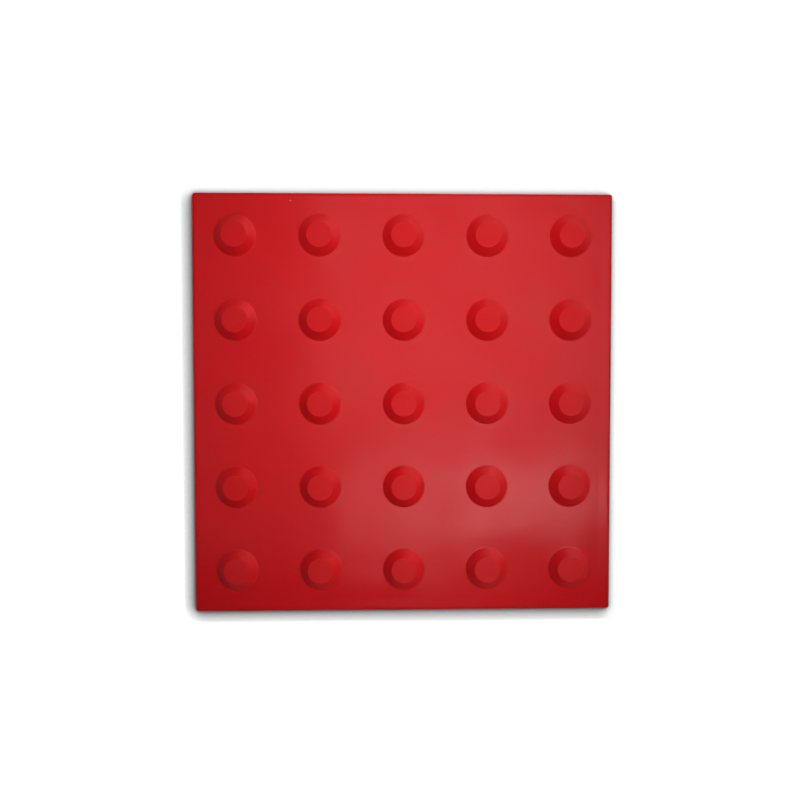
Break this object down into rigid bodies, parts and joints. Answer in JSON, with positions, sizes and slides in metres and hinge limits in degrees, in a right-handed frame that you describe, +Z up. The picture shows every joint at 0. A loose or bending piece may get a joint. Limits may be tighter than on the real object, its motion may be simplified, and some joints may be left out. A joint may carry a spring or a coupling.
{
  "type": "tactile paving slab",
  "caption": "Thin square moulded tactile slab with a grid of flat-topped domes, bonded to a floor as an underfoot and cane-readable warning surface",
  "frame": {"origin": "middle of the flat back, where the slab lies on the floor", "axes": "+Z up through the domes, +X to the right and +Y to the top of the picture, both along the sides of the square"},
  "size_m": [0.25, 0.25, 0.007],
  "materials": {
    "red_polymer": "satin"
  },
  "bodies": {
    "root": {"tactile_slab": "red_polymer"}
  },
  "joints": []
}
